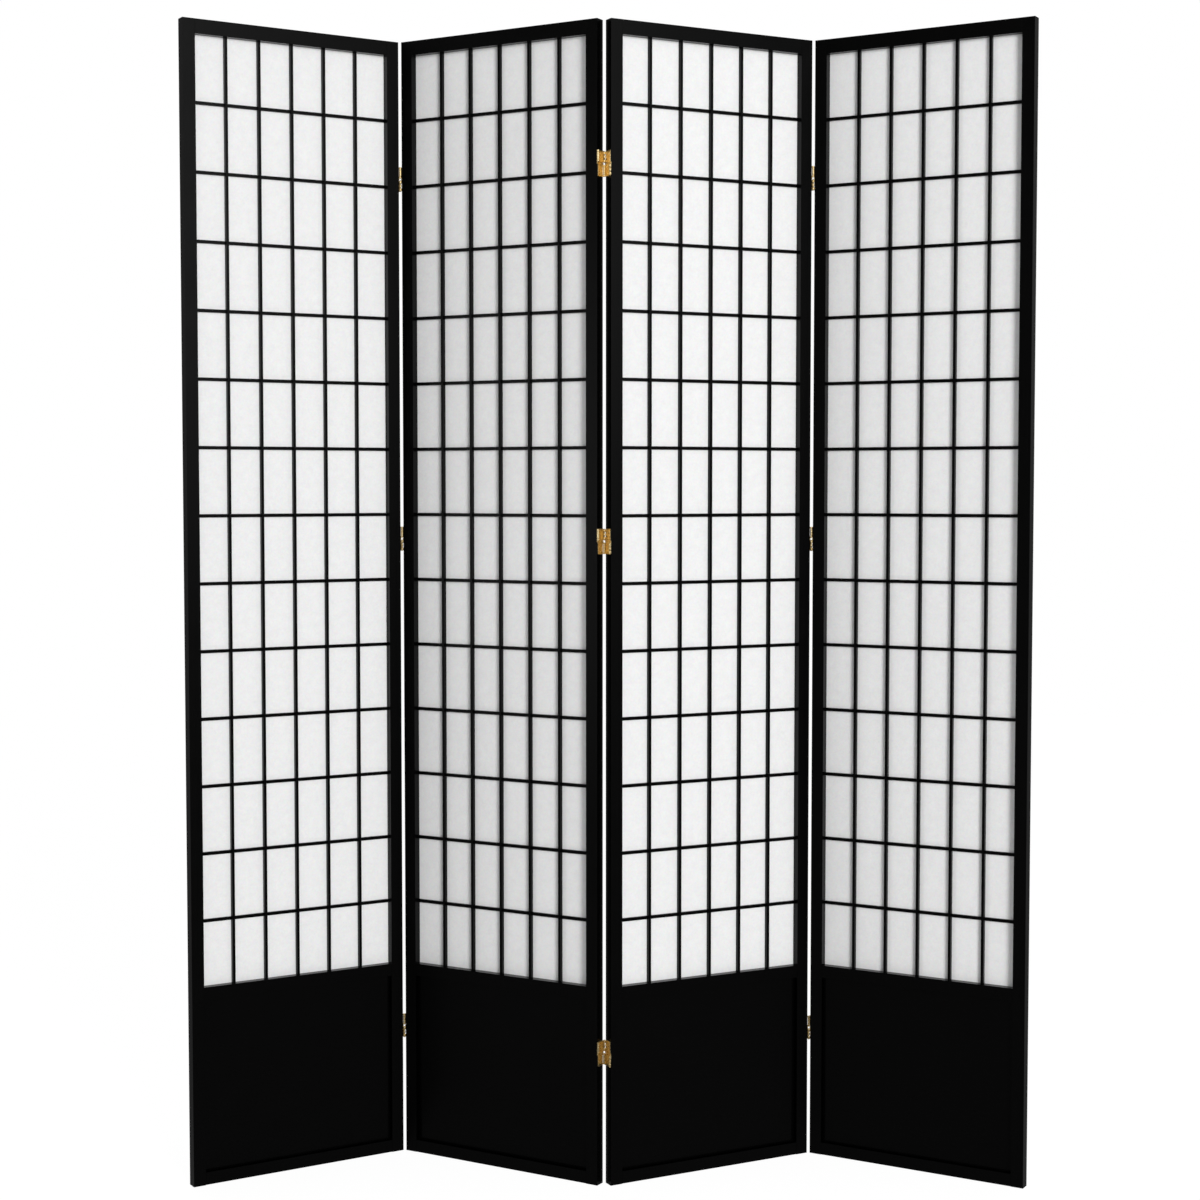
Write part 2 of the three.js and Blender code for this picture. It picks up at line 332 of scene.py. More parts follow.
def add_block(edit, low, high, edge):
    """Adds a box with rounded edges."""
    size = high - low
    box = bmesh.ops.create_cube(edit, size=1)["verts"]
    bmesh.ops.scale(edit, vec=size, verts=box)
    bmesh.ops.translate(edit, vec=(low + high) / 2, verts=box)
    edges = list({line for vertex in box for line in vertex.link_edges})
    round_over(edit, edges, edge)


def flat_plate(outlines, thickness, edge):
    """A flat plate in XY with rounded edges: the first outline is its rim, the others its holes."""
    curve = bpy.data.curves.new("plate", "CURVE")
    curve.dimensions = "2D"
    curve.fill_mode = "BOTH"
    curve.extrude = thickness / 2 - edge
    curve.bevel_depth = edge
    curve.bevel_resolution = 1
    curve.offset = -edge
    for outline in outlines:
        spline = curve.splines.new("POLY")
        spline.points.add(len(outline) - 1)
        for point, (x, y) in zip(spline.points, outline):
            point.co = (x, y, 0, 1)
        spline.use_cyclic_u = True
    return evaluated_mesh(object_of("plate", curve))


def circle(radius, centre=(0, 0)):
    angles = [2 * math.pi * step / ROUND_SEGMENTS for step in range(ROUND_SEGMENTS)]
    return [(centre[0] + radius * math.cos(a), centre[1] + radius * math.sin(a)) for a in angles]


def rounded_rectangle(half_width, half_height, corner):
    points = []
    for quarter, (side, level) in enumerate(((1, 1), (-1, 1), (-1, -1), (1, -1))):
        centre = (side * (half_width - corner), level * (half_height - corner))
        for step in range(CORNER_STEPS + 1):
            angle = math.pi / 2 * (quarter + step / CORNER_STEPS)
            points.append((centre[0] + corner * math.cos(angle), centre[1] + corner * math.sin(angle)))
    return points


# ---- Node trees ----

def add(tree, kind, values=None, **settings):
    """Adds a node. Each value is given by its input's name or number, as a constant or a socket."""
    made = tree.nodes.new(kind)
    for name, setting in settings.items():
        setattr(made, name, setting)
    for key, value in (values or {}).items():
        if isinstance(value, bpy.types.NodeSocket):
            tree.links.new(value, made.inputs[key])
        else:
            made.inputs[key].default_value = value
    return made


def mapped(tree, value, span, low=0, high=1, **settings):
    """Maps a value's way through a span to the way from low to high, and stops at both ends."""
    values = {"Value": value, "From Min": span[0], "From Max": span[1], "To Min": low, "To Max": high}
    return add(tree, "ShaderNodeMapRange", values, **settings).outputs[0]


def blended(tree, factor, first, second):
    """A number between two others."""
    values = {"Factor": factor, "A": first, "B": second}
    return add(tree, "ShaderNodeMix", values, data_type="FLOAT").outputs[0]


def maths(tree, operation, *values):
    return add(tree, "ShaderNodeMath", dict(enumerate(values)), operation=operation).outputs[0]


def noise(tree, place, **values):
    """The outputs of a noise texture at a place. The other values go by their inputs' names."""
    return add(tree, "ShaderNodeTexNoise", {"Vector": place, **values}).outputs


def new_tree(name, kind, inputs, outputs):
    """An empty node group, and the sockets inside it for what it is given and what it puts out."""
    tree = bpy.data.node_groups.new(name, kind)
    for label, socket in inputs.items():
        tree.interface.new_socket(label, in_out="INPUT", socket_type=socket)
    for label, socket in outputs.items():
        tree.interface.new_socket(label, in_out="OUTPUT", socket_type=socket)
    return tree, tree.nodes.new("NodeGroupInput").outputs, tree.nodes.new("NodeGroupOutput").inputs


def made_by(tree, name, base, values):
    """The plain mesh that a Geometry Nodes tree makes from a base mesh with these named inputs."""
    source = object_of(name, base)
    modifier = source.modifiers.new(name, "NODES")
    modifier.node_group = tree
    for item in tree.interface.items_tree:
        if item.name in values:
            modifier[item.identifier] = values[item.name]
    return evaluated_mesh(source)


def bar_row_tree():
    """A row of like bars. Each rises from its place, is turned as told and has rounded long edges."""
    tree, given, result = new_tree(
        "bar row",
        "GeometryNodeTree",
        {
            "Count": "NodeSocketInt", "First": "NodeSocketVector", "Step": "NodeSocketVector",
            "Turn": "NodeSocketVector", "Width": "NodeSocketFloat", "Depth": "NodeSocketFloat",
            "Length": "NodeSocketFloat", "Edge": "NodeSocketFloat", "Material": "NodeSocketMaterial",
        },
        {"Geometry": "NodeSocketGeometry"},
    )
    row = add(
        tree, "GeometryNodeMeshLine",
        {"Count": given["Count"], "Start Location": given["First"], "Offset": given["Step"]},
        mode="OFFSET",
    )
    top = add(tree, "ShaderNodeCombineXYZ", {"Z": given["Length"]})
    line = add(tree, "GeometryNodeCurvePrimitiveLine", {"Start": (0, 0, 0), "End": top.outputs[0]})
    section = add(
        tree, "GeometryNodeCurvePrimitiveQuadrilateral",
        {"Width": given["Width"], "Height": given["Depth"]},
    )
    rounded = add(
        tree, "GeometryNodeFilletCurve",
        {"Curve": section.outputs[0], "Count": 3, "Radius": given["Edge"]},
        mode="POLY",
    )
    bar = add(
        tree, "GeometryNodeCurveToMesh",
        {"Curve": line.outputs[0], "Profile Curve": rounded.outputs[0], "Fill Caps": True},
    )
    bars = add(
        tree, "GeometryNodeInstanceOnPoints",
        {"Points": row.outputs[0], "Instance": bar.outputs[0], "Rotation": given["Turn"]},
    )
    real = add(tree, "GeometryNodeRealizeInstances", {"Geometry": bars.outputs[0]})
    painted = add(
        tree, "GeometryNodeSetMaterial",
        {"Geometry": real.outputs[0], "Material": given["Material"]},
    )
    tree.links.new(painted.outputs[0], result["Geometry"])
    return tree


def screw_tree():
    """Sets a screw at each point of the mesh, facing along its facing, turned by chance."""
    tree, given, result = new_tree(
        "screws",
        "GeometryNodeTree",
        {
            "Geometry": "NodeSocketGeometry", "Screw": "NodeSocketObject",
            "Seed": "NodeSocketInt", "Material": "NodeSocketMaterial",
        },
        {"Geometry": "NodeSocketGeometry"},
    )
    screw = add(tree, "GeometryNodeObjectInfo", {"Object": given["Screw"]})
    facing = add(
        tree, "GeometryNodeInputNamedAttribute", {"Name": "facing"}, data_type="FLOAT_VECTOR"
    )
    outward = add(
        tree, "FunctionNodeAlignRotationToVector", {"Vector": facing.outputs[0]}, axis="Z"
    )
    chance = add(
        tree, "FunctionNodeRandomValue", {"Max": math.pi, "Seed": given["Seed"]}, data_type="FLOAT"
    )
    spin = add(
        tree, "FunctionNodeAxisAngleToRotation",
        {"Axis": (0, 0, 1), "Angle": chance.outputs["Value"]},
    )
    turned = add(
        tree, "FunctionNodeRotateRotation",
        {"Rotation": outward.outputs[0], "Rotate By": spin.outputs[0]},
        rotation_space="LOCAL",
    )
    screws = add(
        tree, "GeometryNodeInstanceOnPoints",
        {
            "Points": given["Geometry"], "Instance": screw.outputs["Geometry"],
            "Rotation": turned.outputs[0],
        },
    )
    real = add(tree, "GeometryNodeRealizeInstances", {"Geometry": screws.outputs[0]})
    painted = add(
        tree, "GeometryNodeSetMaterial",
        {"Geometry": real.outputs[0], "Material": given["Material"]},
    )
    tree.links.new(painted.outputs[0], result["Geometry"])
    return tree


def handling_group():
    """Roughness that wanders between two values: broad wiped patches with fine marks in them."""
    tree, given, result = new_tree(
        "handling",
        "ShaderNodeTree",
        {
            "Place": "NodeSocketVector", "Scale": "NodeSocketFloat",
            "Smoothest": "NodeSocketFloat", "Roughest": "NodeSocketFloat",
        },
        {"Roughness": "NodeSocketFloat"},
    )
    patches = noise(tree, given["Place"], Scale=given["Scale"], Detail=5, Roughness=0.6)
    rough = mapped(tree, patches[0], (0.3, 0.7), given["Smoothest"], given["Roughest"])
    tree.links.new(rough, result["Roughness"])
    return tree


# ---- Materials ----

def new_material(name, slot):
    """A material with a lone Principled shader, and the nodes that its look is worked out with."""
    material = bpy.data.materials.new(name)
    material.use_nodes = True
    material["slot"] = slot
    return material, material.node_tree, material.node_tree.nodes["Principled BSDF"]


def two_tones(tree, factor, first, second):
    """A colour between two others."""
    mix = add(
        tree, "ShaderNodeMix",
        {"Factor": factor, "A": (*first, 1), "B": (*second, 1)},
        data_type="RGBA",
    )
    return mix.outputs["Result"]


def lacquer_material(handling):
    """Black lacquer on close-grained wood: satin, with the grain just felt through it."""
    material, tree, shader = new_material("black_lacquer", "black_lacquer")
    grain = add(tree, "ShaderNodeAttribute", attribute_name="grain")
    drawn = add(
        tree, "ShaderNodeMapping", {"Vector": grain.outputs["Vector"], "Scale": (1, 1, 0.03)}
    )
    lines = noise(tree, drawn.outputs[0], Scale=900, Detail=4, Roughness=0.6, Distortion=0.3)
    marks = add(
        tree, "ShaderNodeGroup",
        {"Place": grain.outputs["Vector"], "Scale": 14, "Smoothest": 0.19, "Roughest": 0.25},
        node_tree=handling,
    )
    tone = two_tones(tree, lines[0], *LACQUER_TONES)
    bump = add(tree, "ShaderNodeBump", {"Strength": 0.12, "Distance": 0.0002, "Height": lines[0]})
    shader.inputs["Specular IOR Level"].default_value = 0.1
    tree.links.new(tone, shader.inputs["Base Color"])
    tree.links.new(marks.outputs["Roughness"], shader.inputs["Roughness"])
    tree.links.new(bump.outputs[0], shader.inputs["Normal"])
    return material


def painted_shade_material():
    """Painted shade: a dull near-black for the corners round the kick board, standing in for the shade
    there, with no gloss.
    """
    material, _, shader = new_material("black_painted_shade", "black_lacquer")
    shader.inputs["Base Color"].default_value = PAINTED_SHADE_TONE
    shader.inputs["Specular IOR Level"].default_value = 0
    shader.inputs["Roughness"].default_value = 0.9
    return material


def fibre_mask(tree, place, scale, width, shift):
    """Thin curved hairs: the places where a noise passes its middle value, broken up by another."""
    moved = add(tree, "ShaderNodeMapping", {"Vector": place, "Location": (shift, shift, shift)})
    wave = noise(tree, moved.outputs[0], Scale=scale, Detail=1, Distortion=0.8)
    size = maths(tree, "ABSOLUTE", maths(tree, "SUBTRACT", wave[0], 0.5))
    hair = mapped(tree, size, (0, width), 1, 0)
    breaks = noise(tree, moved.outputs[0], Scale=scale * 0.7, Detail=0)
    return maths(tree, "MULTIPLY", hair, mapped(tree, breaks[0], (0.5, 0.6)))


def paper_material():
    """White rice paper: cloudy where the pulp settled, a little speckled, with fine hairs in it."""
    material, tree, shader = new_material("rice_paper", "rice_paper")
    place = add(tree, "ShaderNodeTexCoord").outputs["Object"]
    cloud = noise(tree, place, Scale=75, Detail=4, Roughness=0.65)
    speck = noise(tree, place, Scale=420, Detail=3, Roughness=0.7)
    coarse = fibre_mask(tree, place, scale=60, width=0.012, shift=0)
    fine = fibre_mask(tree, place, scale=130, width=0.02, shift=3.7)
    fibres = maths(tree, "MAXIMUM", coarse, fine)
    mottle = blended(tree, 0.4, cloud[0], speck[0])
    pulp = two_tones(tree, mapped(tree, mottle, (0.3, 0.7)), *PAPER_TONES)
    grains = noise(tree, place, Scale=230, Detail=2)
    tinted = add(
        tree, "ShaderNodeMix", {"Factor": 0.12, "A": pulp, "B": grains["Color"]},
        data_type="RGBA",
    )
    share = maths(tree, "MULTIPLY", fibres, 0.35)
    haired = add(
        tree, "ShaderNodeMix",
        {"Factor": share, "A": tinted.outputs["Result"], "B": FIBRE_TONE},
        data_type="RGBA",
    )
    height = maths(tree, "ADD", mottle, fibres)
    bump = add(tree, "ShaderNodeBump", {"Strength": 0.25, "Distance": 0.0003, "Height": height})
    shader.inputs["Specular IOR Level"].default_value = 0.2
    shader.inputs["Roughness"].default_value = 0.85
    tree.links.new(haired.outputs["Result"], shader.inputs["Base Color"])
    tree.links.new(bump.outputs[0], shader.inputs["Normal"])
    return material


def brass_material(handling):
    """Lacquered brass, a little mottled by its pressing."""
    material, tree, shader = new_material("hinge_brass", "hinge_brass")
    place = add(tree, "ShaderNodeTexCoord").outputs["Object"]
    mottle = noise(tree, place, Scale=420, Detail=4, Roughness=0.6, Distortion=0.6)
    marks = add(
        tree, "ShaderNodeGroup",
        {"Place": place, "Scale": 300, "Smoothest": 0.22, "Roughest": 0.36},
        node_tree=handling,
    )
    tone = two_tones(tree, mapped(tree, mottle[0], (0.35, 0.65)), *BRASS_TONES)
    bump = add(tree, "ShaderNodeBump", {"Strength": 0.35, "Distance": 0.0002, "Height": mottle[0]})
    shader.inputs["Metallic"].default_value = 1
    tree.links.new(tone, shader.inputs["Base Color"])
    tree.links.new(marks.outputs["Roughness"], shader.inputs["Roughness"])
    tree.links.new(bump.outputs[0], shader.inputs["Normal"])
    return material


handling = handling_group()
lacquer = lacquer_material(handling)
painted_shade = painted_shade_material()
paper = paper_material()
brass = brass_material(handling)


# ---- Wood and paper ----

def make_board(number, piece, along):
    """A stile or a rail, as the CAD node with rounded edges."""
    node = f"panel_{number}_{piece}"
    mesh = shaded(softened_copy(number, piece, FRAME_EDGE))
    set_grain(mesh, places[number], along, number + middle(node).x)
    finished(f"{node}_lacquered", mesh, lacquer, "black_lacquer", f"panel_{number}", node)


def make_lattice(number, tree):
    """The upright bars, let into the rails, and the cross bars between the stiles."""
    inner_width = PANEL_WIDTH - 2 * STILE_WIDTH
    inner_height = RAIL_BOTTOM - MID_RAIL_TOP
    pane_width = (inner_width - (COLUMNS - 1) * UPRIGHT_BAR_WIDTH) / COLUMNS
    pane_height = (inner_height - (ROWS - 1) * CROSS_BAR_HEIGHT) / ROWS
    across = pane_width + UPRIGHT_BAR_WIDTH
    up = pane_height + CROSS_BAR_HEIGHT
    uprights = made_by(tree, "uprights", bpy.data.meshes.new("uprights"), {
        "Count": COLUMNS - 1,
        "First": (
            STILE_WIDTH + pane_width + UPRIGHT_BAR_WIDTH / 2,
            (UPRIGHT_BAR_FRONT + BAR_BACK) / 2,
            MID_RAIL_TOP - BAR_STUB,
        ),
        "Step": (across, 0, 0),
        "Turn": (0, 0, 0),
        "Width": UPRIGHT_BAR_WIDTH,
        "Depth": BAR_BACK - UPRIGHT_BAR_FRONT,
        "Length": inner_height + 2 * BAR_STUB,
        "Edge": BAR_EDGE,
        "Material": lacquer,
    })
    crosses = made_by(tree, "crosses", bpy.data.meshes.new("crosses"), {
        "Count": ROWS - 1,
        "First": (
            STILE_WIDTH + JOINT_GAP,
            (CROSS_BAR_FRONT + BAR_BACK) / 2,
            MID_RAIL_TOP + pane_height + CROSS_BAR_HEIGHT / 2,
        ),
        "Step": (0, 0, up),
        "Turn": (0, math.pi / 2, 0),
        "Width": CROSS_BAR_HEIGHT,
        "Depth": BAR_BACK - CROSS_BAR_FRONT,
        "Length": inner_width - 2 * JOINT_GAP,
        "Edge": BAR_EDGE,
        "Material": lacquer,
    })
    unturned = Matrix.Identity(4)
    set_grain(uprights, unturned, "z", number)
    set_grain(crosses, unturned, "x", number)
    node = f"panel_{number}_lattice"
    mesh = joined(node, [uprights, crosses])
    mesh.transform(places[number])
    finished(f"{node}_bars", shaded(mesh), lacquer, "black_lacquer", f"panel_{number}", node)


def make_painted_shade(number):
    """Painted shade in the corners beside and below the kick board: a thin near-black skin on the
    frame's inner faces.
    """
    left = STILE_WIDTH
    right = PANEL_WIDTH - STILE_WIDTH
    back = KICK_BOARD_FRONT
    edit = bmesh.new()
    for low, high in (
        ((left, 2 * CRISP_EDGE, BOTTOM_RAIL_TOP), (right, back, BOTTOM_RAIL_TOP + PAINTED_SHADE_THICKNESS)),
        ((left, FRAME_EDGE, BOTTOM_RAIL_TOP), (left + PAINTED_SHADE_THICKNESS, back, MID_RAIL_BOTTOM)),
        ((right - PAINTED_SHADE_THICKNESS, FRAME_EDGE, BOTTOM_RAIL_TOP), (right, back, MID_RAIL_BOTTOM)),
    ):
        add_block(edit, Vector(low), Vector(high), PAINTED_SHADE_EDGE)
    mesh = mesh_of("painted_shade", edit)
    mesh.transform(places[number])
    finished(f"panel_{number}_lining", shaded(mesh), painted_shade, "black_lacquer", f"panel_{number}")


bar_row = bar_row_tree()
for number in PANELS:
    make_board(number, "stile_left", "z")
    make_board(number, "stile_right", "z")
    make_board(number, "top_rail", "x")
    make_board(number, "kick_unit", "x")
    make_lattice(number, bar_row)
    make_painted_shade(number)
    frame["nodes"][f"panel_{number}_paper"].material_slots[0].material = paper


# ---- Hinges, about the middle of the gap between two panels: y is across their thickness ----

UPRIGHT_PLATE = Matrix(((0, 0, 1, 0), (1, 0, 0, 0), (0, 1, 0, 0), (0, 0, 0, 1)))  # from XY to YZ


def half_span(up, near, far):
    """Two heights from the hinge's middle, the lower one first: as given for its upper half, and
    mirrored for its lower half."""
    return (near, far) if up > 0 else (-far, -near)


def screw_places(side):
    """Where a leaf's three screws lie, on its inner face."""
    face = -LEAF_FACE if side == "left" else LEAF_FACE
    return [
        Vector((face, SCREW_STAGGER if step == 0 else -SCREW_STAGGER, step * SCREW_STEP))
        for step in (-1, 0, 1)
    ]


def add_tongue(edit, plate_x, front, bottom, top, reach=PIN_DISTANCE):
    """A short bar on a plate, out to the knuckle that the plate bears or as far as a web goes."""
    ends = (front * reach, front * (PLATE_REACH - PLATE_CORNER))
    low = Vector((plate_x[0], min(ends), bottom))
    high = Vector((plate_x[1], max(ends), top))
    add_block(edit, low, high, PLATE_EDGE)


def add_pin(edit, axis, bottom, top):
    """A pin with a low domed head at each end of its barrel."""
    dome = [(PIN_HEAD_RADIUS * math.sin(a), PIN_HEAD_RISE * math.cos(a)) for a in quarter_turn()]
    lower = [(radius, bottom - rise) for radius, rise in dome]
    upper = [(radius, top + rise) for radius, rise in reversed(dome)]
    shaft = [(PIN_RADIUS, bottom), (PIN_RADIUS, top)]
    profile = [(0, lower[0][1])] + lower[1:] + shaft + upper[:-1] + [(0, upper[-1][1])]
    add_turned(edit, profile, axis, PIN_SEGMENTS)


def leaf_mesh(side):
    """A leaf: a plate with holes for its screws, with the end knuckles of its two barrels and a pin
    in each barrel."""
    outer = HINGE_GAP / 2 - JOINT_GAP
    plate_x = (-outer, -LEAF_FACE) if side == "left" else (LEAF_FACE, outer)
    end_knuckle = LEFT_END_KNUCKLE if side == "left" else RIGHT_END_KNUCKLE
    rounding = KNUCKLE_ROUNDING[side]
    hole = SCREW_HEAD_RADIUS + SCREW_HEAD_ROOM
    holes = [circle(hole, (place.y, place.z)) for place in screw_places(side)]
    rim = rounded_rectangle(PLATE_REACH, HINGE_HEIGHT / 2, PLATE_CORNER)
    plate = flat_plate([rim, *holes], LEAF_THICKNESS, PLATE_EDGE)
    plate.transform(Matrix.Translation((sum(plate_x) / 2, 0, 0)) @ UPRIGHT_PLATE)
    edit = bmesh.new()
    edit.from_mesh(plate)
    for up in (1, -1):
        front = -up if side == "left" else up
        axis = Vector((0, front * PIN_DISTANCE, 0))
        ends = [
            half_span(up, BARREL_NEAR, BARREL_NEAR + end_knuckle),
            half_span(up, BARREL_FAR - end_knuckle, BARREL_FAR),
        ]
        for bottom, top in ends:
            wall = rounded_profile(BARREL_RADIUS, bottom, top, rounding)
            add_turned(edit, [(0, bottom), *wall, (0, top)], axis)
            add_tongue(edit, plate_x, front, bottom + rounding / 2, top - rounding / 2)
        web = half_span(up, -WEB_REACH, BARREL_NEAR + end_knuckle / 2)
        add_tongue(edit, plate_x, front, *web, reach=PIN_DISTANCE - WEB_SHORT)
        add_pin(edit, axis, *half_span(up, BARREL_NEAR, BARREL_FAR))
    return mesh_of(f"leaf_{side}", edit)


def link_mesh(level):
    """A link: a plate from the middle knuckle of a left leaf's barrel to that of a right leaf's."""
    up = 1 if level == "upper" else -1
    half = LINK_THICKNESS / 2
    bottom, top = half_span(up, BARREL_NEAR, BARREL_FAR)
    rim = rounded_rectangle(PLATE_REACH, BARREL_LENGTH / 2, PLATE_CORNER)
    plate = flat_plate([rim], LINK_THICKNESS, PLATE_EDGE)
    plate.transform(Matrix.Translation((0, 0, (bottom + top) / 2)) @ UPRIGHT_PLATE)
    edit = bmesh.new()
    edit.from_mesh(plate)
    for side, front, end_knuckle in (
        ("left", -up, LEFT_END_KNUCKLE),
        ("right", up, RIGHT_END_KNUCKLE),
    ):
        inset = end_knuckle + KNUCKLE_GAP
        rounding = KNUCKLE_ROUNDING[side]
        low, high = half_span(up, BARREL_NEAR + inset, BARREL_FAR - inset)
        wall = rounded_profile(BARREL_RADIUS, low, high, rounding)
        loop = [(PIN_BORE_RADIUS, low), *wall, (PIN_BORE_RADIUS, high), (PIN_BORE_RADIUS, low)]
        add_turned(edit, loop, Vector((0, front * PIN_DISTANCE, 0)))
        ends = (front * (PIN_DISTANCE - PIN_BORE_RADIUS), front * (PLATE_REACH - PLATE_CORNER))
        add_block(
            edit,
            Vector((-half, min(ends), low + rounding / 2)),
            Vector((half, max(ends), high - rounding / 2)),
            PLATE_EDGE,
        )
    return mesh_of(f"link_{level}", edit)


def hinge_place(fold, place, leaf_side):
    """The hinge's frame on the panel that bears this leaf. The left leaf is on the left panel."""
    number = int(fold[0]) if leaf_side == "left" else int(fold[1])
    x = PANEL_WIDTH + HINGE_GAP / 2 if leaf_side == "left" else -HINGE_GAP / 2
    height = middle(f"hinge_{fold}_{place}_leaf_{leaf_side}").z
    offset = Matrix.Translation((x, FRAME_THICKNESS / 2, height))
    return number, places[number] @ offset


def link_side(fold, level):
    """The side whose panel a link stays with: the one whose body lists it."""
    bodies = frame["record"]["behaviour"]["bodies"]
    return "left" if f"hinge_{fold}_lower_link_{level}" in bodies[f"panel_{fold[0]}"] else "right"


def make_hinge_piece(name, shape, number, place):
    mesh = shaded(shape.copy())
    mesh.transform(place)
    finished(f"{name}_brass", mesh, brass, "hinge_brass", f"panel_{number}", name)


leaf_shapes = {side: leaf_mesh(side) for side in ("left", "right")}
link_shapes = {level: link_mesh(level) for level in ("upper", "lower")}
screw_points = {number: [] for number in PANELS}
for fold in FOLDS:
    for hinge in HINGE_PLACES:
        for side, shape in leaf_shapes.items():
            number, place = hinge_place(fold, hinge, side)
            make_hinge_piece(f"hinge_{fold}_{hinge}_leaf_{side}", shape, number, place)
            inward = Vector((1 if side == "left" else -1, 0, 0))
            facing = place.to_3x3() @ inward
            screw_points[number] += [(place @ point, facing) for point in screw_places(side)]
        for level, shape in link_shapes.items():
            number, place = hinge_place(fold, hinge, link_side(fold, level))
            make_hinge_piece(f"hinge_{fold}_{hinge}_link_{level}", shape, number, place)


# ---- Screws ----

def screw_shape():
    """A flat head with a cross recess. Its face is at zero height and it lies below."""
    a = RECESS_ARM
    b = RECESS_HALF_WIDTH
    arm = [(a, -b), (a, b), (b, b)]
    cross = []
    for _ in range(4):
        cross += arm
        arm = [(-y, x) for x, y in arm]
    depth = SCREW_HEAD_DEPTH / 2
    face = flat_plate([circle(SCREW_HEAD_RADIUS), cross], depth, PLATE_EDGE / 2)
    face.transform(Matrix.Translation((0, 0, -SCREW_HEAD_SUNK - depth / 2)))
    floor = flat_plate([circle(SCREW_HEAD_RADIUS)], depth, PLATE_EDGE / 2)
    floor.transform(Matrix.Translation((0, 0, -SCREW_HEAD_SUNK - depth * 1.5)))
    return joined("screw", [face, floor])


def make_screws(number, points, tree, screw):
    base = bpy.data.meshes.new("screw_points")
    base.from_pydata([point for point, _ in points], [], [])
    facing = base.attributes.new("facing", "FLOAT_VECTOR", "POINT")
    for value, (_, direction) in zip(facing.data, points):
        value.vector = direction
    mesh = made_by(tree, "screws", base, {"Screw": screw, "Seed": number, "Material": brass})
    finished(f"panel_{number}_screws", shaded(mesh), brass, "hinge_brass", f"panel_{number}")


screw = object_of("screw", screw_shape())
screws = screw_tree()
for number, points in screw_points.items():
    make_screws(number, points, screws, screw)
bpy.data.objects.remove(screw)


# ---- Floor, light and camera ----

GLOSS_LEVELS = {  # how bright the gloss sees each direction round the horizon, in degrees to the right
    -180: 1.0, -152: 1.0, -145: 0.165, -108: 0.13, -98: 3.0, -78: 3.0, -68: 1.9, -61: 1.4, -57.5: 0.12,
    -50: 0.12, -42: 0.3, -32: 1.4, -10: 1.75, 10: 1.75, 38: 1.9, 46: 2.5, 52: 2.3, 55: 0.95, 58: 0.46,
    64: 0.05, 76: 0.1, 84: 2.4, 98: 2.4, 108: 0.22, 145: 0.27, 152: 1.0, 180: 1.0,
}
GLOSS_TOP = 3.0  # the level that counts as one in the ramp
SKY_GLOSS = 0.3  # the level high up
SKY_RISE = (0.2, 0.6)  # how high, of 1 for straight up, the fade to it begins and ends
ROOM_GLOSS = 0.16  # the least that the gloss sees above the horizon
LOW_GLOSS = {"front": 0.22, "back": 0.18}  # what the gloss sees below the horizon
LOW_GLOSS_SPAN = (-0.1, 0.1)  # between which directions front turns into back
HORIZON_SPAN = (-0.03, 0.05)  # the heights between which below turns into above
LEFT_STRIP = (-100, -46)  # the directions that the light on the left fills, in degrees
LEFT_RISE = (0.06, 0.17)  # how high its upper edge is
LEFT_DROP = 0.1  # how much lower it reaches
AMBIENT_SPAN = (125, 150)  # how many degrees to the side front turns into back
FLOOR_HALF = 8  # half of its side
FLOOR_GLOW = 0.95
FLOOR_SHADE = 0.12  # the share of the floor's look that shows the object's shadow
FLOOR_BOUNCE = {"front": 0.44, "back": 0.85}  # how bright the floor is as a source of soft light
FLOOR_BOUNCE_SPAN = (0.2, 1.2)  # where on the floor front turns into back
FLOOR_GLOSS_SPAN = (-0.1, 0.3)  # the same for what the gloss sees of it


def make_floor():
    """A pale floor: nearly white to the camera, with a faint shadow, and grey to the object."""
    edit = bmesh.new()
    bmesh.ops.create_grid(edit, x_segments=1, y_segments=1, size=FLOOR_HALF)
    floor = object_of("floor", mesh_of("floor", edit))
    material = bpy.data.materials.new("floor")
    material.use_nodes = True
    tree = material.node_tree
    tree.nodes.clear()
    path = add(tree, "ShaderNodeLightPath")
    glow = add(tree, "ShaderNodeEmission", {"Strength": FLOOR_GLOW})
    shade = add(tree, "ShaderNodeBsdfDiffuse", {"Color": (FLOOR_SHADE,) * 3 + (1,)})
    seen = add(tree, "ShaderNodeAddShader", {0: glow.outputs[0], 1: shade.outputs[0]})
    place = add(tree, "ShaderNodeTexCoord").outputs["Object"]
    depth = add(tree, "ShaderNodeSeparateXYZ", {0: place}).outputs["Y"]
    soft = mapped(tree, depth, FLOOR_BOUNCE_SPAN, FLOOR_BOUNCE["front"], FLOOR_BOUNCE["back"])
    bounce = add(tree, "ShaderNodeEmission", {"Strength": soft})
    gloss = mapped(tree, depth, FLOOR_GLOSS_SPAN, LOW_GLOSS["front"], LOW_GLOSS["back"])
    mirrored = add(tree, "ShaderNodeEmission", {"Strength": gloss})
    either = add(
        tree, "ShaderNodeMixShader",
        {0: path.outputs["Is Camera Ray"], 1: bounce.outputs[0], 2: seen.outputs[0]},
    )
    surface = add(
        tree, "ShaderNodeMixShader",
        {0: path.outputs["Is Glossy Ray"], 1: either.outputs[0], 2: mirrored.outputs[0]},
    )
    add(tree, "ShaderNodeOutputMaterial", {"Surface": surface.outputs[0]})
    floor.data.materials.append(material)


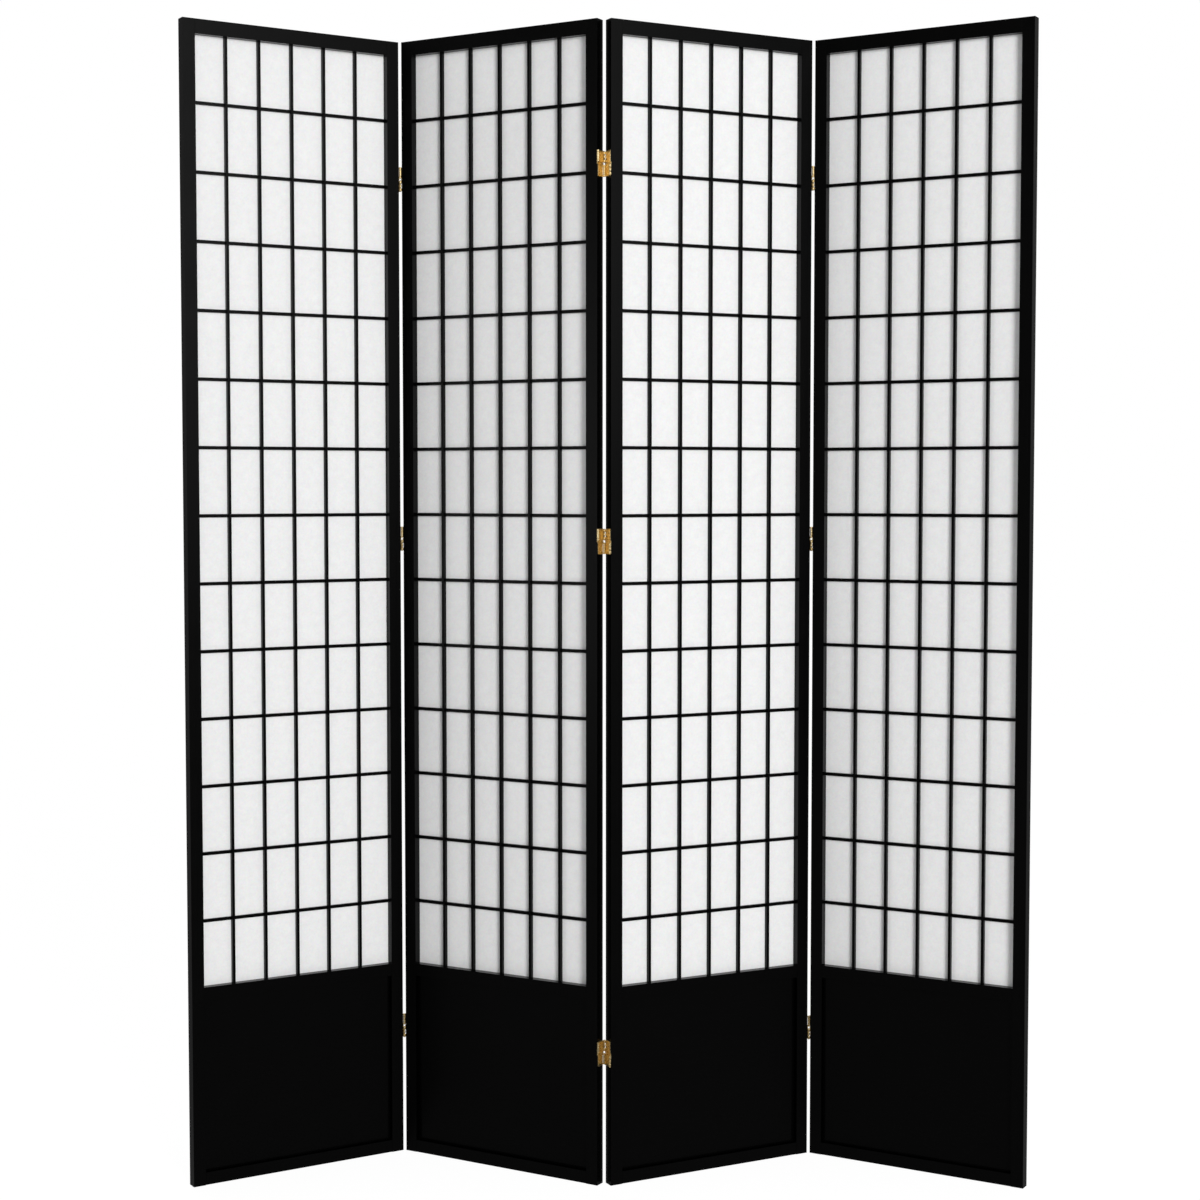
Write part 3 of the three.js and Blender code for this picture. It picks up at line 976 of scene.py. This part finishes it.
def make_world():
    """White to the camera, plain soft light on the object, and a studio in its gloss: a broad light
    in front, a smaller one on each side and the white backdrop behind the screen."""
    world = bpy.data.worlds.new("world")
    world.use_nodes = True
    world.cycles.sampling_method = "NONE"
    bpy.context.scene.world = world
    tree = world.node_tree
    tree.nodes.clear()
    path = add(tree, "ShaderNodeLightPath")
    direction = add(tree, "ShaderNodeTexCoord").outputs["Generated"]
    axes = add(tree, "ShaderNodeSeparateXYZ", {0: direction})
    height = axes.outputs["Z"]
    front = maths(tree, "MULTIPLY", axes.outputs["Y"], -1)
    turn = maths(tree, "ARCTAN2", axes.outputs["X"], front)
    share = mapped(tree, turn, (-math.pi, math.pi))
    ramp = add(tree, "ShaderNodeValToRGB", {"Fac": share})
    stops = ramp.color_ramp.elements
    for index, (degrees, level) in enumerate(GLOSS_LEVELS.items()):
        place = (degrees + 180) / 360
        stop = stops[index] if index < 2 else stops.new(place)
        stop.position = place
        stop.color = (*(level / GLOSS_TOP,) * 3, 1)
    around = maths(tree, "MULTIPLY", ramp.outputs[0], GLOSS_TOP)
    high = mapped(tree, height, SKY_RISE, interpolation_type="SMOOTHSTEP")
    upper = blended(tree, high, around, SKY_GLOSS)
    strip = mapped(tree, height, LEFT_RISE, 1, 0, interpolation_type="SMOOTHSTEP")
    ahead = maths(tree, "GREATER_THAN", turn, math.radians(LEFT_STRIP[0]))
    left = maths(tree, "LESS_THAN", turn, math.radians(LEFT_STRIP[1]))
    beside = maths(tree, "MULTIPLY", left, ahead)
    cut = blended(tree, beside, 1.0, strip)
    lit = maths(tree, "MAXIMUM", maths(tree, "MULTIPLY", upper, cut), ROOM_GLOSS)
    lifted = maths(tree, "ADD", height, maths(tree, "MULTIPLY", beside, LEFT_DROP))
    low = mapped(tree, axes.outputs["Y"], LOW_GLOSS_SPAN, LOW_GLOSS["front"], LOW_GLOSS["back"])
    gloss = blended(tree, mapped(tree, lifted, HORIZON_SPAN), low, lit)
    shiny = maths(
        tree, "MAXIMUM", path.outputs["Is Glossy Ray"], path.outputs["Is Transmission Ray"]
    )
    aside = maths(tree, "ABSOLUTE", turn)
    span = [math.radians(degrees) for degrees in AMBIENT_SPAN]
    ambient = mapped(tree, aside, span, AMBIENT["front"], AMBIENT["back"])
    soft = blended(tree, shiny, ambient, gloss)
    level = blended(tree, path.outputs["Is Camera Ray"], soft, 1.0)
    light = add(tree, "ShaderNodeBackground", {"Strength": level})
    light.inputs["Color"].default_value = (1, 1, 1, 1)
    add(tree, "ShaderNodeOutputWorld", {"Surface": light.outputs[0]})


def make_light(name, light):
    """A large soft light, far off. The gloss sees the world's own bright places instead."""
    lamp = bpy.data.lights.new(name, "SUN")
    lamp.energy = light["power"]
    lamp.angle = math.radians(light["spread"])
    made = object_of(name, lamp)
    made.rotation_euler = (math.radians(90 - light["rise"]), 0, math.radians(light["turn"]))
    made.visible_glossy = False


def make_key():
    """A softbox to the right of the camera, near enough to favour the right-hand panels."""
    lamp = bpy.data.lights.new("key", "AREA")
    lamp.shape = "DISK"
    lamp.size = KEY_LIGHT["size"]
    lamp.energy = KEY_LIGHT["power"]
    made = object_of("key", lamp)
    turn = math.radians(KEY_LIGHT["turn"])
    away = KEY_LIGHT["distance"]
    made.location = (away * math.sin(turn), -away * math.cos(turn), KEY_LIGHT["height"])
    aim = Vector((0, 0, AIM_HEIGHT)) - made.location
    made.rotation_euler = aim.to_track_quat("-Z", "Y").to_euler()
    made.visible_glossy = False


def make_camera():
    camera = bpy.data.cameras.new("camera")
    camera.lens = LENS_MM
    camera.sensor_width = SENSOR_MM
    eye = object_of("camera", camera)
    eye.location = CAMERA_PLACE
    eye.rotation_euler = (math.radians(90 - CAMERA_TILT), 0, 0)
    camera.shift_x, camera.shift_y = LENS_SHIFT
    bpy.context.scene.camera = eye


make_floor()
make_world()
make_key()
make_light("glow", GLOW_LIGHT)
make_light("fill", FILL_LIGHT)
make_camera()
bpy.context.scene.view_settings.view_transform = "Standard"
